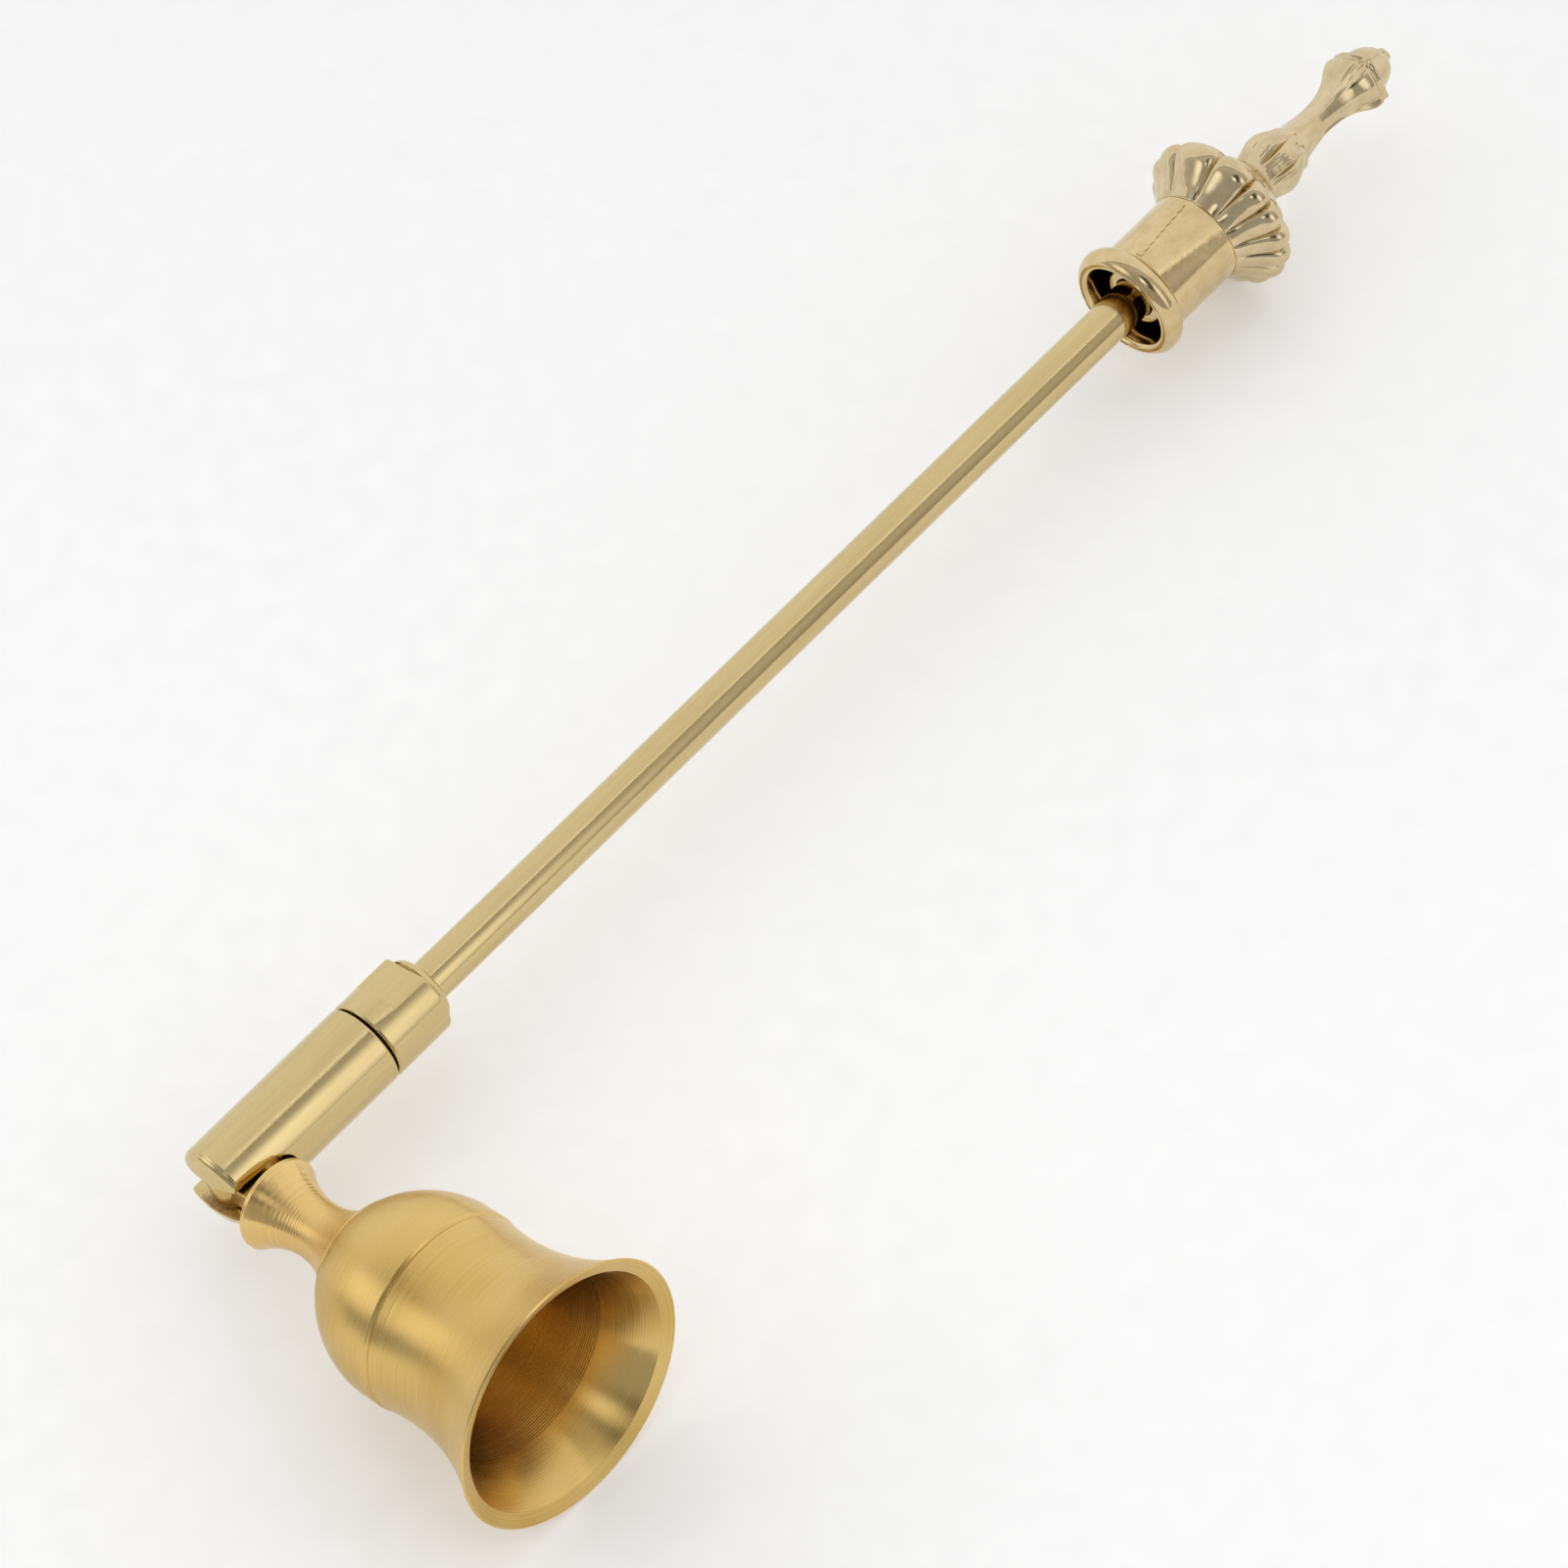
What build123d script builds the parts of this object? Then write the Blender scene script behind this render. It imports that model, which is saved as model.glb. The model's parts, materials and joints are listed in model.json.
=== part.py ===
from build123d import *
import math
import os

os.makedirs("parts", exist_ok=True)

# Candle snuffer whose bell tilts in a fork and swivels on its rod.
# Lengths are millimetres and angles are degrees. The snuffer is drawn with the hinge at the
# origin, the rod along +X and the bell's mouth towards -Y, then laid on the table at the end.

# Fits shared by several pieces
running_clearance = 0.05      # radial, between a pin and the hole that turns on it
thread_clearance = 0.02       # radial, between a thread drawn plain and its hole
washer_play = 0.05            # on each face of a washer that slides

# Bell cup, measured along its own axis
bell_length = 35.5            # crown to rim
mouth_diameter = 37.0
rim_width = 0.9               # flat land of the rim
rim_bevel_width = 0.8
rim_bevel_drop = 0.6
rim_edge_chamfer = 0.25
flare_length = 8.1            # rim to the bore's edge, inside
flare_bow = 0.25
bore_diameter = 26.2          # at the bore's edge
bore_taper = 3.0              # half angle of the bore
crown_thickness = 5.5
bore_corner_radius = 5.0
skirt_waist_diameter = 26.8
skirt_waist_distance = 17.0   # rim to the narrowest part of the skirt
groove_distance = 21.6        # rim to the turned groove
groove_width = 0.7
groove_depth = 0.4
skirt_top_diameter = 27.4     # just below the groove
dome_diameter = 27.8
dome_length = 10.0            # crown to the end of the dome's curve
dome_bow = 0.95
shoulder_diameter = 18.8
shoulder_chamfer = 0.3

# Neck spool between knuckle and bell
neck_offset = 8.3             # hinge to the neck's flange
neck_length = 16.7
neck_flange_diameter = 12.7
neck_flange_edge = 0.6
neck_waist_diameter = 7.9
neck_waist_distance = 7.7     # flange face to the waist
neck_base_diameter = 17.8
neck_base_edge = 0.3

# Knuckle, its stud and the nut inside the bell
knuckle_thickness = 4.0
knuckle_radius = 3.4
knuckle_web_width = 4.8
knuckle_chamfer = 0.3
stud_diameter = 4.0
stud_tip = 0.6                # stud beyond its nut
stud_nut_flats = 7.0
stud_nut_height = 2.6
stud_washer_diameter = 9.0
stud_washer_thickness = 0.6

# Fork barrel and its hinge
barrel_diameter = 12.0
barrel_length = 24.8          # hinge to the swivel face
barrel_edge_chamfer = 0.25
nose_length = 2.3             # hinge to the bevel of the upper ear's domed end
nose_bevel = 0.65
nose_height = 1.15            # dome beyond its bevel
lower_ear_extra = 0.5         # lower ear beyond the upper one
slot_width = 5.2
slot_depth = 6.4              # hinge to the bottom of the slot's round end
ear_width = 9.4               # across the flats milled on the ears, at the bevel
ear_taper = 5.0               # flats away from the rod's line
ear_flat_length = 6.2
ear_cutter_diameter = 6.0      # rounds the ends of the flats
pivot_diameter = 3.0
pivot_thread_length = 2.4     # pivot screwed into the upper ear
pivot_head_diameter = 5.4
pivot_head_height = 1.4
pivot_head_setback = 0.2      # head below the lower ear's surface
pivot_head_clearance = 0.2
pivot_washer_diameter = 6.2
drive_slot_width = 0.8        # screwdriver slots
drive_slot_depth = 0.6

# Swivel between barrel and collar
swivel_gap = 0.3
thrust_washer_diameter = 10.4
swivel_shoulder_diameter = 4.0
swivel_thread_diameter = 3.0
swivel_thread_length = 7.0
swivel_head_diameter = 6.4
swivel_head_height = 1.6
swivel_head_room = 0.5        # head to the ferrule's plug
spring_washer_height = 0.7
spring_washer_thickness = 0.35
spring_washer_inset = 0.2     # washer short of the head's edge, radial
collar_length = 9.7
collar_web = 2.5
collar_bore_diameter = 7.4
collar_flats = 9.4
collar_flat_length = 5.8
collar_turn = -13.0           # flats away from the vertical, about the rod
collar_edge_chamfer = 0.25

# Ferrule that closes the collar and takes the rod
ferrule_step_diameter = 10.2
ferrule_step_length = 1.3
ferrule_chamfer = 0.9

# Rod
rod_diameter = 6.0
rod_exposed_length = 142.4    # ferrule to the socket's mouth
rod_tenon_diameter = 4.6      # in the ferrule
rod_tail_diameter = 4.4       # through the handle
rod_seat_depth = 7.4          # socket's mouth to the rod's shoulder

# Handle socket
socket_length = 16.4
socket_diameter = 14.4
socket_wall = 0.9
socket_floor = 4.0
bead_diameter = 17.6
bead_width = 4.0
mouth_flare = 0.5
mouth_flare_depth = 1.6
hub_diameter = 8.9
hub_setback = 2.0             # hub's front behind the mouth
hub_recess_diameter = 7.4     # round the rod
hub_recess_depth = 2.2
web_width = 2.8
web_turn = 24.0               # webs away from the vertical, about the rod

# Fluted collar
flute_count = 18
flute_length = 12.0
flute_diameter = 24.0
flute_peak_distance = 5.2     # socket to the widest part
flute_depth = 0.8
flute_end_depth = 0.4         # at the socket and at the finial
flute_root_diameter = 15.0    # against the socket
flute_top_diameter = 9.6      # against the finial
flute_flare_share = 0.4       # of the rise to the peak, reached half way
flute_round_share = 0.34      # of the drop behind the peak, reached half way

# Finial, from the fluted collar to its tip
finial_lobes = 4
finial_turn = 18.0            # lobes away from the vertical, about the rod
finial_lobe_depth = 0.8
finial_slim_depth = 0.3       # at the waist and the tip
finial_stage_steps = 5        # sections drawn in each of its four stages
finial_base_diameter = 8.2
finial_bulge_rise = 5.0       # base to bulge
finial_bulge_diameter = 9.4
finial_waist_rise = 9.7       # bulge to waist
finial_waist_diameter = 4.4
finial_waist_skew = 0.8       # below 1 thins early, above 1 swells late
finial_bud_rise = 9.2         # waist to bud
finial_bud_diameter = 9.8
finial_bud_skew = 1.6
finial_tip_rise = 7.3         # bud to tip
finial_tip_diameter = 2.6
finial_thread_depth = 8.0

# Places along the bell's axis
bell_top = neck_offset + neck_length
bell_reach = bell_top + bell_length
crown_inside = bell_top + crown_thickness
stud_nut_seat = crown_inside + stud_washer_thickness
stud_end = stud_nut_seat + stud_nut_height + stud_tip

# Places along the rod
collar_start = barrel_length + swivel_gap
collar_end = collar_start + collar_length
head_seat = collar_start + collar_web + spring_washer_height + 2 * washer_play
plug_start = head_seat + swivel_head_height + swivel_head_room
ferrule_end = collar_end + ferrule_step_length
socket_start = ferrule_end + rod_exposed_length
rod_shoulder = socket_start + rod_seat_depth
socket_end = socket_start + socket_length
finial_start = socket_end + flute_length
rod_end = finial_start + finial_thread_depth

# Radii used by more than one piece
barrel_radius = barrel_diameter / 2
collar_bore_radius = collar_bore_diameter / 2
pivot_hole_radius = pivot_diameter / 2 + running_clearance
stud_hole_radius = stud_diameter / 2 + thread_clearance
tail_hole_radius = rod_tail_diameter / 2 + thread_clearance
pivot_washer_thickness = (slot_width - knuckle_thickness) / 2 - 2 * washer_play


def rod_along_x(radius, start, end):
    return Plane.YZ.offset(start) * Cylinder(
        radius, end - start, align=(Align.CENTER, Align.CENTER, Align.MIN)
    )


def ring_along_x(outer, inner, start, end):
    return rod_along_x(outer, start, end) - rod_along_x(inner, start, end)


def post_along_z(radius, bottom, top):
    return Pos(0, 0, bottom) * Cylinder(
        radius, top - bottom, align=(Align.CENTER, Align.CENTER, Align.MIN)
    )


def bowed(start, end, bow):
    # Arc between two points that bulges to the left of the way from start to end
    across = Vector(*end) - Vector(*start)
    left = Vector(-across.Y, across.X).normalized()
    middle = (Vector(*start) + Vector(*end)) * 0.5 + left * bow
    return ThreePointArc(start, middle, end)


def turned(outline):
    return revolve(make_face(outline), Axis.X)


def down_the_bell(part):
    # From drawn along +X to lying along the bell's axis
    return Rot(0, 0, -90) * part


def lobed_section(station, radius, depth, count):
    # Scalloped outline round the rod, with one lobe pointing straight down
    step = 360 / count
    arcs = []
    for lobe in range(count):
        turn = -90 + lobe * step
        start = Vector(radius - depth, 0).rotate(Axis.Z, turn - step / 2)
        peak = Vector(radius, 0).rotate(Axis.Z, turn)
        end = Vector(radius - depth, 0).rotate(Axis.Z, turn + step / 2)
        arcs.append(ThreePointArc(start, peak, end))
    return Plane.YZ.offset(station) * make_face(arcs)


def bell_cup():
    lip = mouth_diameter / 2
    land_inside = lip - rim_edge_chamfer - rim_width
    bevel_inside = land_inside - rim_bevel_width
    flare_end = bell_reach - flare_length
    bore_edge = bore_diameter / 2
    bore_end = crown_inside + bore_corner_radius
    bore_foot = bore_edge - (flare_end - bore_end) * math.tan(math.radians(bore_taper))
    corner_cut = bore_corner_radius * (1 - math.sqrt(0.5))
    groove_end = bell_reach - groove_distance + groove_width / 2
    groove_start = groove_end - groove_width
    dome_end = bell_top + dome_length
    dome = dome_diameter / 2
    shoulder = shoulder_diameter / 2
    skirt_top = (groove_end, skirt_top_diameter / 2)
    skirt_waist = (bell_reach - skirt_waist_distance, skirt_waist_diameter / 2)
    lip_edge = (bell_reach - rim_edge_chamfer, lip)
    bevel_edge = (bell_reach - rim_bevel_drop, bevel_inside)
    outline = [
        Polyline(
            (bell_top, stud_hole_radius),
            (bell_top, shoulder - shoulder_chamfer),
            (bell_top + shoulder_chamfer, shoulder),
        ),
        bowed((bell_top + shoulder_chamfer, shoulder), (dome_end, dome), dome_bow),
        Polyline(
            (dome_end, dome),
            (groove_start, dome),
            (groove_start + groove_width / 2, dome - groove_depth),
            skirt_top,
        ),
        ThreePointArc(skirt_top, skirt_waist, lip_edge),
        Polyline(
            lip_edge,
            (bell_reach, lip - rim_edge_chamfer),
            (bell_reach, land_inside),
            bevel_edge,
        ),
        bowed(bevel_edge, (flare_end, bore_edge), flare_bow),
        Line((flare_end, bore_edge), (bore_end, bore_foot)),
        ThreePointArc(
            (bore_end, bore_foot),
            (crown_inside + corner_cut, bore_foot - corner_cut),
            (crown_inside, bore_foot - bore_corner_radius),
        ),
        Polyline(
            (crown_inside, bore_foot - bore_corner_radius),
            (crown_inside, stud_hole_radius),
            (bell_top, stud_hole_radius),
        ),
    ]
    return down_the_bell(turned(outline))


def neck_spool():
    flange = neck_flange_diameter / 2
    base = neck_base_diameter / 2
    waist = (neck_offset + neck_waist_distance, neck_waist_diameter / 2)
    flange_edge = (neck_offset + neck_flange_edge, flange)
    base_edge = (bell_top - neck_base_edge, base)
    outline = [
        Polyline((neck_offset, stud_hole_radius), (neck_offset, flange), flange_edge),
        TangentArc(waist, flange_edge, tangent=(-1, 0)),
        TangentArc(waist, base_edge, tangent=(1, 0)),
        Polyline(
            base_edge,
            (bell_top, base),
            (bell_top, stud_hole_radius),
            (neck_offset, stud_hole_radius),
        ),
    ]
    return down_the_bell(turned(outline))


def knuckle():
    eye = Circle(knuckle_radius)
    web = Pos(0, -neck_offset / 2) * Rectangle(knuckle_web_width, neck_offset)
    plate = extrude(eye + web, knuckle_thickness / 2, both=True)
    rims = plate.edges().filter_by(GeomType.CIRCLE)
    plate = chamfer(rims, knuckle_chamfer)
    stud = down_the_bell(rod_along_x(stud_diameter / 2, neck_offset, stud_end))
    return plate + stud - post_along_z(pivot_hole_radius, -knuckle_thickness, knuckle_thickness)


def stud_washer():
    ring = ring_along_x(stud_washer_diameter / 2, stud_hole_radius, crown_inside, stud_nut_seat)
    return down_the_bell(ring)


def stud_nut():
    blank = RegularPolygon(stud_nut_flats / 2, 6, major_radius=False) - Circle(stud_hole_radius)
    nut = extrude(Plane.YZ.offset(stud_nut_seat) * blank, stud_nut_height)
    return down_the_bell(nut)


def barrel_blank(nose):
    # Turned bar with a bevelled and domed end, before the slot, flats and holes
    dome_rim = barrel_radius - nose_bevel
    dome_start = -nose - nose_bevel
    tip = (dome_start - nose_height, 0)
    dome_edge = (dome_start, dome_rim)
    dome_radius = (dome_rim**2 + nose_height**2) / (2 * nose_height)
    half_angle = math.asin(dome_rim / dome_radius) / 2
    dome_middle = (
        tip[0] + dome_radius * (1 - math.cos(half_angle)),
        dome_radius * math.sin(half_angle),
    )
    outline = [
        ThreePointArc(tip, dome_middle, dome_edge),
        Polyline(
            dome_edge,
            (-nose, barrel_radius),
            (barrel_length - barrel_edge_chamfer, barrel_radius),
            (barrel_length, barrel_radius - barrel_edge_chamfer),
            (barrel_length, 0),
            tip,
        ),
    ]
    return turned(outline)


def ear_flat(side):
    # What a cutter takes off one side of the fork, side being 1 or -1
    cutter = ear_cutter_diameter / 2
    inner = Align.MIN if side > 0 else Align.MAX
    waste = Pos(-barrel_diameter, 0, 0) * Box(
        barrel_diameter + ear_flat_length,
        barrel_diameter,
        barrel_diameter,
        align=(Align.MIN, inner, Align.CENTER),
    )
    waste += Pos(ear_flat_length, side * cutter, 0) * Cylinder(cutter, barrel_diameter)
    return Pos(-nose_length, side * ear_width / 2, 0) * Rot(0, 0, side * ear_taper) * waste


def fork_barrel():
    lower_nose = nose_length + lower_ear_extra
    slot_start = -lower_nose - nose_bevel - nose_height
    round_end = slot_depth - slot_width / 2
    slot = Pos((slot_start + round_end) / 2, 0, 0) * Box(
        round_end - slot_start, barrel_diameter, slot_width
    )
    slot += Pos(round_end, 0, 0) * Rot(90, 0, 0) * Cylinder(slot_width / 2, barrel_diameter)
    upper_half = Pos((slot_start + barrel_length) / 2, 0, 0) * Box(
        barrel_length - slot_start,
        barrel_diameter,
        barrel_radius,
        align=(Align.CENTER, Align.CENTER, Align.MIN),
    )
    blank = (barrel_blank(nose_length) & upper_half) + (barrel_blank(lower_nose) - upper_half)
    seat = -barrel_radius + pivot_head_setback + pivot_head_height
    thread_hole = swivel_thread_diameter / 2 + thread_clearance
    body = blank - slot - ear_flat(1) - ear_flat(-1)
    body -= post_along_z(pivot_hole_radius, seat, 0)
    body -= post_along_z(pivot_head_diameter / 2 + pivot_head_clearance, -barrel_radius, seat)
    body -= post_along_z(
        pivot_diameter / 2 + thread_clearance, 0, slot_width / 2 + pivot_thread_length
    )
    return body - rod_along_x(thread_hole, barrel_length - swivel_thread_length, barrel_length)


def pivot_screw():
    seat = -barrel_radius + pivot_head_setback + pivot_head_height
    shank = post_along_z(pivot_diameter / 2, seat, slot_width / 2 + pivot_thread_length)
    head = post_along_z(pivot_head_diameter / 2, seat - pivot_head_height, seat)
    slot = Pos(0, 0, seat - pivot_head_height) * Box(
        pivot_head_diameter, drive_slot_width, 2 * drive_slot_depth
    )
    return shank + head - slot


def pivot_washer(bottom):
    ring = post_along_z(pivot_washer_diameter / 2, bottom, bottom + pivot_washer_thickness)
    return ring - post_along_z(pivot_hole_radius, bottom, bottom + pivot_washer_thickness)


def thrust_washer():
    hole = swivel_shoulder_diameter / 2 + running_clearance
    return ring_along_x(
        thrust_washer_diameter / 2, hole, barrel_length + washer_play, collar_start - washer_play
    )


def swivel_bolt():
    thread_tip = barrel_length - swivel_thread_length
    bolt = rod_along_x(swivel_thread_diameter / 2, thread_tip, barrel_length)
    bolt += rod_along_x(swivel_shoulder_diameter / 2, barrel_length, head_seat)
    head_top = head_seat + swivel_head_height
    bolt += rod_along_x(swivel_head_diameter / 2, head_seat, head_top)
    slot = Pos(head_top, 0, 0) * Box(2 * drive_slot_depth, swivel_head_diameter, drive_slot_width)
    return bolt - slot


def spring_washer():
    # Coned spring between the collar's web and the bolt's head
    inside = swivel_shoulder_diameter / 2 + running_clearance
    outside = swivel_head_diameter / 2 - spring_washer_inset
    foot = collar_start + collar_web + washer_play
    top = foot + spring_washer_height
    outline = Polyline(
        (foot, outside),
        (foot + spring_washer_thickness, outside),
        (top, inside),
        (top - spring_washer_thickness, inside),
        close=True,
    )
    return turned(outline)


def swivel_collar():
    body = rod_along_x(barrel_radius, collar_start, collar_end)
    body = chamfer(body.edges().filter_by(GeomType.CIRCLE), collar_edge_chamfer)
    body -= rod_along_x(
        swivel_shoulder_diameter / 2 + running_clearance, collar_start, collar_end
    )
    body -= rod_along_x(collar_bore_radius, collar_start + collar_web, collar_end)
    flat_middle = collar_end - collar_flat_length / 2
    for side in (-1, 1):
        flat_height = side * (collar_flats + barrel_diameter) / 2
        waste = Box(collar_flat_length, barrel_diameter, barrel_diameter)
        body -= Rot(collar_turn, 0, 0) * Pos(flat_middle, 0, flat_height) * waste
    return body


def ferrule():
    body = rod_along_x(collar_bore_radius - thread_clearance, plug_start, collar_end)
    step = rod_along_x(ferrule_step_diameter / 2, collar_end, ferrule_end)
    rim = step.edges().filter_by(GeomType.CIRCLE).sort_by(Axis.X)[-1]
    body += chamfer(rim, ferrule_chamfer)
    return body - rod_along_x(rod_tenon_diameter / 2 + thread_clearance, plug_start, ferrule_end)


def rod():
    body = rod_along_x(rod_tenon_diameter / 2, plug_start, ferrule_end)
    body += rod_along_x(rod_diameter / 2, ferrule_end, rod_shoulder)
    return body + rod_along_x(rod_tail_diameter / 2, rod_shoulder, rod_end)


def handle_socket():
    outside = socket_diameter / 2
    inside = outside - socket_wall
    bead = bead_diameter / 2
    bead_end = socket_start + bead_width
    floor_start = socket_end - socket_floor
    outline = [
        Polyline((socket_start, outside), (socket_start, inside + mouth_flare)),
        Polyline(
            (socket_start, inside + mouth_flare),
            (socket_start + mouth_flare_depth, inside),
            (floor_start, inside),
            (floor_start, tail_hole_radius),
            (socket_end, tail_hole_radius),
            (socket_end, outside),
            (bead_end, outside),
        ),
        ThreePointArc(
            (bead_end, outside), (socket_start + bead_width / 2, bead), (socket_start, outside)
        ),
    ]
    hub_start = socket_start + hub_setback
    hub_room = rod_along_x(inside, hub_start, floor_start)
    web = Pos((hub_start + floor_start) / 2, 0, 0) * Box(
        floor_start - hub_start, web_width, socket_diameter
    )
    hub = rod_along_x(hub_diameter / 2, hub_start, floor_start) + (hub_room & Rot(web_turn, 0, 0) * web)
    body = turned(outline) + hub
    body -= rod_along_x(hub_recess_diameter / 2, hub_start, hub_start + hub_recess_depth)
    body -= rod_along_x(rod_diameter / 2 + thread_clearance, hub_start, rod_shoulder)
    return body - rod_along_x(tail_hole_radius, rod_shoulder, socket_end)


def fluted_collar():
    rise = flute_peak_distance
    fall = flute_length - flute_peak_distance
    root = flute_root_diameter / 2
    peak = flute_diameter / 2
    top = flute_top_diameter / 2
    flare = root + (peak - root) * flute_flare_share
    rounding = peak - (peak - top) * flute_round_share
    sections = [
        lobed_section(socket_end, root, flute_end_depth, flute_count),
        lobed_section(socket_end + rise / 2, flare, flute_depth, flute_count),
        lobed_section(socket_end + rise, peak, flute_depth, flute_count),
        lobed_section(socket_end + rise + fall / 2, rounding, flute_depth, flute_count),
        lobed_section(finial_start, top, flute_end_depth, flute_count),
    ]
    return loft(sections) - rod_along_x(tail_hole_radius, socket_end, finial_start)


def finial():
    stages = [
        (finial_bulge_rise, finial_bulge_diameter / 2, finial_lobe_depth, 1),
        (finial_waist_rise, finial_waist_diameter / 2, finial_slim_depth, finial_waist_skew),
        (finial_bud_rise, finial_bud_diameter / 2, finial_lobe_depth, finial_bud_skew),
        (finial_tip_rise, finial_tip_diameter / 2, finial_slim_depth, 1),
    ]
    station = finial_start
    radius = finial_base_diameter / 2
    depth = finial_lobe_depth
    sections = [lobed_section(station, radius, depth, finial_lobes)]
    for rise, next_radius, next_depth, skew in stages:
        for step in range(1, finial_stage_steps + 1):
            way = step / finial_stage_steps
            share = (1 - math.cos(math.pi * way**skew)) / 2
            section_radius = radius + (next_radius - radius) * share
            section_depth = depth + (next_depth - depth) * share
            sections.append(
                lobed_section(station + rise * way, section_radius, section_depth, finial_lobes)
            )
        station += rise
        radius = next_radius
        depth = next_depth
    body = loft(sections) - rod_along_x(tail_hole_radius, finial_start, rod_end)
    return Rot(finial_turn, 0, 0) * body


handle_side = {
    "swivel_collar": swivel_collar(),
    "thrust_washer": thrust_washer(),
    "ferrule": ferrule(),
    "rod": rod(),
    "handle_socket": handle_socket(),
    "fluted_collar": fluted_collar(),
    "finial": finial(),
}
bell_side = {
    "fork_barrel": fork_barrel(),
    "swivel_bolt": swivel_bolt(),
    "spring_washer": spring_washer(),
    "pivot_screw": pivot_screw(),
    "upper_pivot_washer": pivot_washer(knuckle_thickness / 2 + washer_play),
    "lower_pivot_washer": pivot_washer(-slot_width / 2 + washer_play),
    "knuckle": knuckle(),
    "neck_spool": neck_spool(),
    "stud_washer": stud_washer(),
    "stud_nut": stud_nut(),
    "bell_cup": bell_cup(),
}

# Laid on the table, the flutes and the lip touch it and the rod lies level between them
rod_height = flute_diameter / 2
lip_reach = bell_reach - rim_edge_chamfer
lip_radius = mouth_diameter / 2
lay_angle = math.degrees(
    math.asin(rod_height / math.hypot(lip_reach, lip_radius)) - math.atan2(lip_radius, lip_reach)
)
laid = dict(handle_side)
for name, piece in bell_side.items():
    laid[name] = Rot(lay_angle, 0, 0) * piece
boxes = [piece.bounding_box() for piece in laid.values()]
middle_x = (min(box.min.X for box in boxes) + max(box.max.X for box in boxes)) / 2
middle_y = (min(box.min.Y for box in boxes) + max(box.max.Y for box in boxes)) / 2
lowest = min(box.min.Z for box in boxes)
shift = Pos(-middle_x, -middle_y, -lowest)
for name, piece in laid.items():
    export_step(shift * piece, f"parts/{name}.step")

hinge = shift.position
print(f"hinge at {hinge.X:.3f}, {hinge.Y:.3f}, {hinge.Z:.3f}, bell laid over by {lay_angle:.3f}")
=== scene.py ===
import bmesh
import bpy
import json
import math
from mathutils import Matrix, Vector


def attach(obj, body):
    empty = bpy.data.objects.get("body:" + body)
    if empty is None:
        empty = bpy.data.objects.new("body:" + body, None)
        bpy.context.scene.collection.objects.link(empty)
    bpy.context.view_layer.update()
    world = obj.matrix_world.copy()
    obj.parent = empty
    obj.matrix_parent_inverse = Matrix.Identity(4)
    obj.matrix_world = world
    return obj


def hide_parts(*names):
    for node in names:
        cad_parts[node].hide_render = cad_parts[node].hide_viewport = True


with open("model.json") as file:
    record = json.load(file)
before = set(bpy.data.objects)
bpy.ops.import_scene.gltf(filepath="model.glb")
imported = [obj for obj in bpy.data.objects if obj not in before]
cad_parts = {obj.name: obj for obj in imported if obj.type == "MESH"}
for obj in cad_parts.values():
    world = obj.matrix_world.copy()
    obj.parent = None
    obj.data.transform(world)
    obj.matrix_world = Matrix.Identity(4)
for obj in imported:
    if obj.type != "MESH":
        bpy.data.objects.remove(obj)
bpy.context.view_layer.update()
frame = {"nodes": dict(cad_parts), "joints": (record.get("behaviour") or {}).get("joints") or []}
mm = 0.001
print("frame loaded:", len(frame["nodes"]), "nodes")

# pieces are drawn in millimetres with the hinge at the origin and their own length along X
joints = {joint["name"]: joint for joint in frame["joints"]}
hinge = Vector(joints["bell_tilt"]["pos_m"])
tilt = Vector(joints["bell_tilt"]["axis"])
layTurn = math.atan2(tilt.y, -tilt.z)
gripPlace = Matrix.Translation(hinge)
forkPlace = gripPlace @ Matrix.Rotation(layTurn, 4, "X")
bellPlace = forkPlace @ Matrix.Rotation(math.radians(-90), 4, "Z")
bellTurn = bellPlace.to_3x3()


def hexLinear(code):
    channels = [int(code[i:i + 2], 16) / 255 for i in (1, 3, 5)]
    linear = [c / 12.92 if c <= 0.04045 else ((c + 0.055) / 1.055) ** 2.4 for c in channels]
    return (*linear, 1.0)


def addNode(tree, kind, values={}, links={}, **settings):
    node = tree.nodes.new(kind)
    for name, value in settings.items():
        setattr(node, name, value)
    for socket, value in values.items():
        node.inputs[socket].default_value = value
    for socket, source in links.items():
        tree.links.new(source, node.inputs[socket])
    return node


def startMaterial(name, look):
    material = bpy.data.materials.new(name)
    material.use_nodes = True
    tree = material.node_tree
    bsdf = tree.nodes["Principled BSDF"]
    bsdf.inputs["Metallic"].default_value = look["metallic"]
    bsdf.inputs["Anisotropic"].default_value = look.get("anisotropic", 0)
    return material, tree, bsdf


def tuneTone(tree, fac, stops):
    ramp = addNode(tree, "ShaderNodeValToRGB", {}, {"Fac": fac})
    elements = ramp.color_ramp.elements
    elements[0].position, elements[0].color = stops[0][0], hexLinear(stops[0][1])
    elements[1].position, elements[1].color = stops[-1][0], hexLinear(stops[-1][1])
    for place, code in stops[1:-1]:
        elements.new(place).color = hexLinear(code)
    return ramp.outputs["Color"]


# brass turned on a lathe and left satin: fine rings round the piece that smear a highlight along it
satinLook = {
    "metallic": 1, "anisotropic": 0.95,
    "tones": [(0.3, "#CCA85E"), (0.5, "#D8B76F"), (0.7, "#E0C17C")],
    "roughness": (0.22, 0.30),
    "ringPitch": 0.30,      # real feed is near 0.1, too fine to show
    "streak": (0.30, 34.0),  # width along the axis and length round it
    "bodyRadius": 13.5,
    "ringHeight": 0.008,
}


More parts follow.
